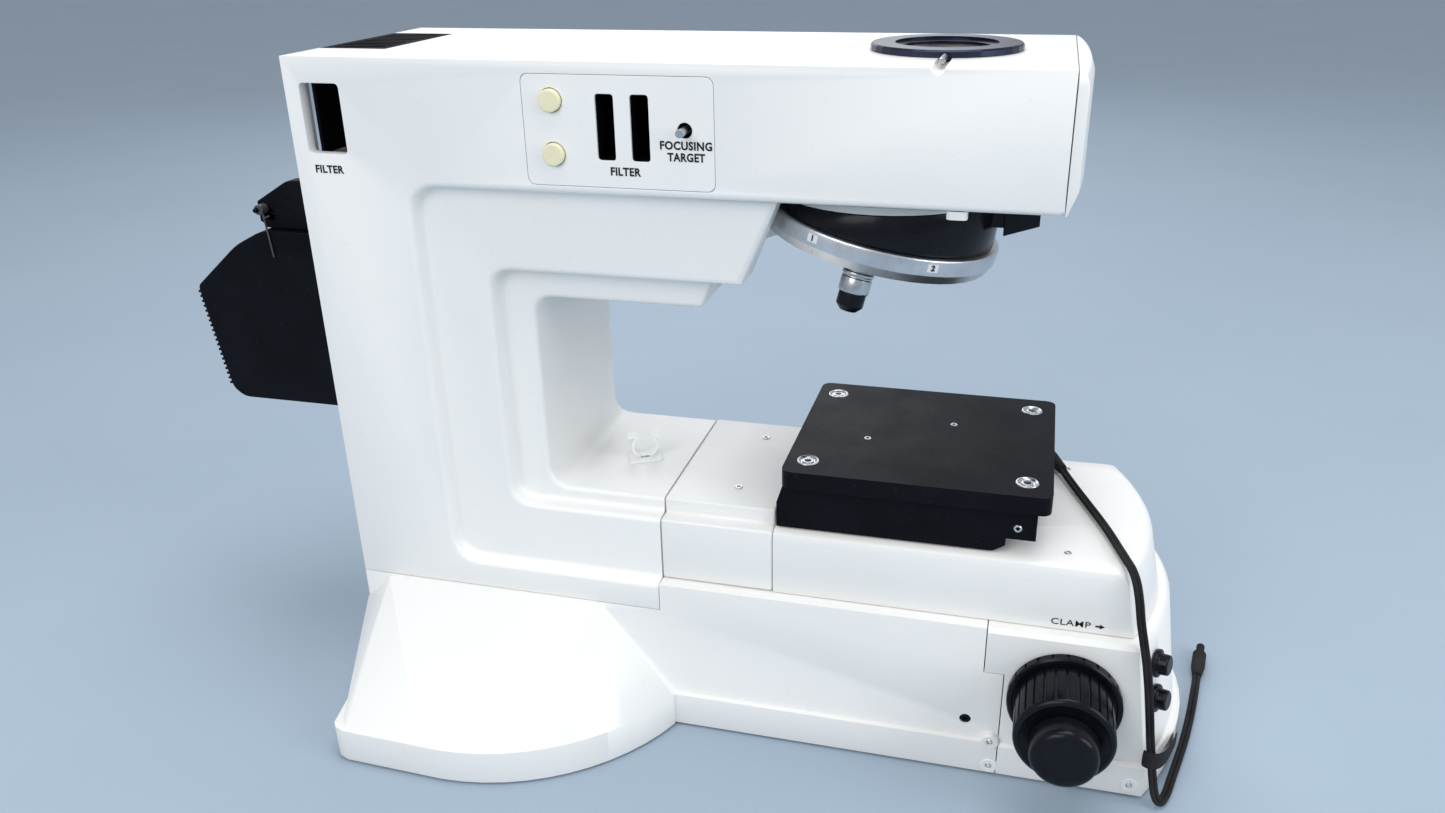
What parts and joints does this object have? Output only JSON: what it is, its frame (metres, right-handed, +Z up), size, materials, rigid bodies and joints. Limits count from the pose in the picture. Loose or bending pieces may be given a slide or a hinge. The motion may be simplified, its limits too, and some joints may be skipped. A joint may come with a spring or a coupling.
{
  "type": "inspection microscope stand",
  "caption": "Bench inspection microscope stand with a C-shaped frame, flat stage, coaxial focus knobs, tilted objective turret and a lamp house at the rear.",
  "frame": {"origin": "centre of the outline at table level, under the feet", "axes": "+X towards the user, along the arm; +Z up; -Y the side with the control panel"},
  "size_m": [0.6855, 0.343, 0.4295],
  "materials": {
    "white_paint": "satin",
    "black_metal": "satin",
    "black_plastic": "glossy",
    "aluminium": "brushed",
    "steel": "polished",
    "cream_plastic": "satin",
    "glass": "polished",
    "rubber": "matte"
  },
  "bodies": {
    "stand": {"stand_frame": "white_paint", "arm_front_cap": "white_paint", "control_panel": "white_paint", "base_casting": "white_paint", "bridge_cover": "white_paint", "front_cover": "white_paint", "turret_flange": "white_paint", "rear_port_plate": "black_metal", "tube_mount_ring": "black_metal", "filter_housing": "black_metal", "lower_mirror": "black_metal", "upper_mirror": "black_metal", "illuminator_tube": "black_metal", "beam_splitter": "black_metal", "lamp_housing": "black_metal", "lamp_bracket": "black_metal", "top_vent": "black_plastic", "button_switch_block": "black_plastic", "turret_dome": "black_plastic", "turret_drive": "black_plastic", "mains_inlet": "black_plastic", "focus_guide": "aluminium", "tube_clamp_screw": "steel", "base_plate": "steel", "power_supply": "steel", "lamp_bulb": "glass", "collector_lens": "glass", "foot_1": "rubber", "foot_2": "rubber", "foot_3": "rubber", "foot_4": "rubber", "lead_gland": "rubber", "lead": "rubber", "lead_plug": "rubber"},
    "focus_carriage": {"stage_plate": "black_metal", "stage_block": "black_metal", "stage_screw_1": "steel", "stage_screw_2": "steel", "stage_screw_3": "steel", "stage_screw_4": "steel", "focus_post": "aluminium", "focus_rack": "steel"},
    "coarse_drive": {"coarse_shaft": "steel", "coarse_knob_near": "black_plastic", "coarse_knob_far": "black_plastic"},
    "fine_drive": {"fine_shaft": "steel", "fine_knob_near": "black_plastic", "fine_knob_far": "black_plastic"},
    "focus_clamp": {"clamp_ring": "black_plastic"},
    "turret": {"turret_ring": "aluminium", "turret_plate": "black_metal", "objective_barrel": "steel", "objective_tip": "black_plastic", "objective_lens": "glass"},
    "button_up": {"upper_button": "cream_plastic"},
    "button_down": {"lower_button": "cream_plastic"},
    "target": {"target_rod": "steel"},
    "lever": {"lamp_lever": "steel"},
    "front_knob_up": {"upper_front_knob": "black_plastic"},
    "front_knob_down": {"lower_front_knob": "black_plastic"}
  },
  "joints": [
    {"name": "focus_slide", "type": "slide", "parent": "stand", "child": "focus_carriage", "axis": [0, 0, 1], "range_m": [0, 0.025]},
    {"name": "coarse_turn", "type": "hinge", "parent": "stand", "child": "coarse_drive", "pos_m": [0.2525, 0, 0.062], "axis": [0, 1, 0], "range_deg": [0, 240]},
    {"name": "fine_turn", "type": "hinge", "parent": "stand", "child": "fine_drive", "pos_m": [0.2525, 0, 0.062], "axis": [0, 1, 0], "continuous": true},
    {"name": "clamp_turn", "type": "hinge", "parent": "stand", "child": "focus_clamp", "pos_m": [0.2525, -0.085, 0.062], "axis": [0, 1, 0], "range_deg": [0, 40]},
    {"name": "turret_turn", "type": "hinge", "parent": "stand", "child": "turret", "pos_m": [0.1188, 0, 0.3155], "axis": [0.2182, 0, 0.9759], "continuous": true},
    {"name": "upper_button_press", "type": "slide", "parent": "stand", "child": "button_up", "axis": [0, 1, 0], "range_m": [0, 0.002], "stiffness_N_per_m": 300, "springref_m": -0.001},
    {"name": "lower_button_press", "type": "slide", "parent": "stand", "child": "button_down", "axis": [0, 1, 0], "range_m": [0, 0.002], "stiffness_N_per_m": 300, "springref_m": -0.001},
    {"name": "target_slide", "type": "slide", "parent": "stand", "child": "target", "axis": [0, 1, 0], "range_m": [0, 0.008]},
    {"name": "lamp_lever_swing", "type": "hinge", "parent": "stand", "child": "lever", "pos_m": [-0.2715, -0.049, 0.326], "axis": [0, 1, 0], "range_deg": [-20, 80]},
    {"name": "upper_front_knob_turn", "type": "hinge", "parent": "stand", "child": "front_knob_up", "pos_m": [0.30255, -0.062, 0.084], "axis": [0.9114, -0.3876, 0.1384], "range_deg": [-135, 135]},
    {"name": "lower_front_knob_turn", "type": "hinge", "parent": "stand", "child": "front_knob_down", "pos_m": [0.30414, -0.066, 0.062], "axis": [0.9024, -0.4085, 0.1371], "range_deg": [-135, 135]}
  ],
  "couplings": [
    {"joint": "coarse_turn", "follows": "focus_slide", "rad_per_m": 166.67}
  ]
}
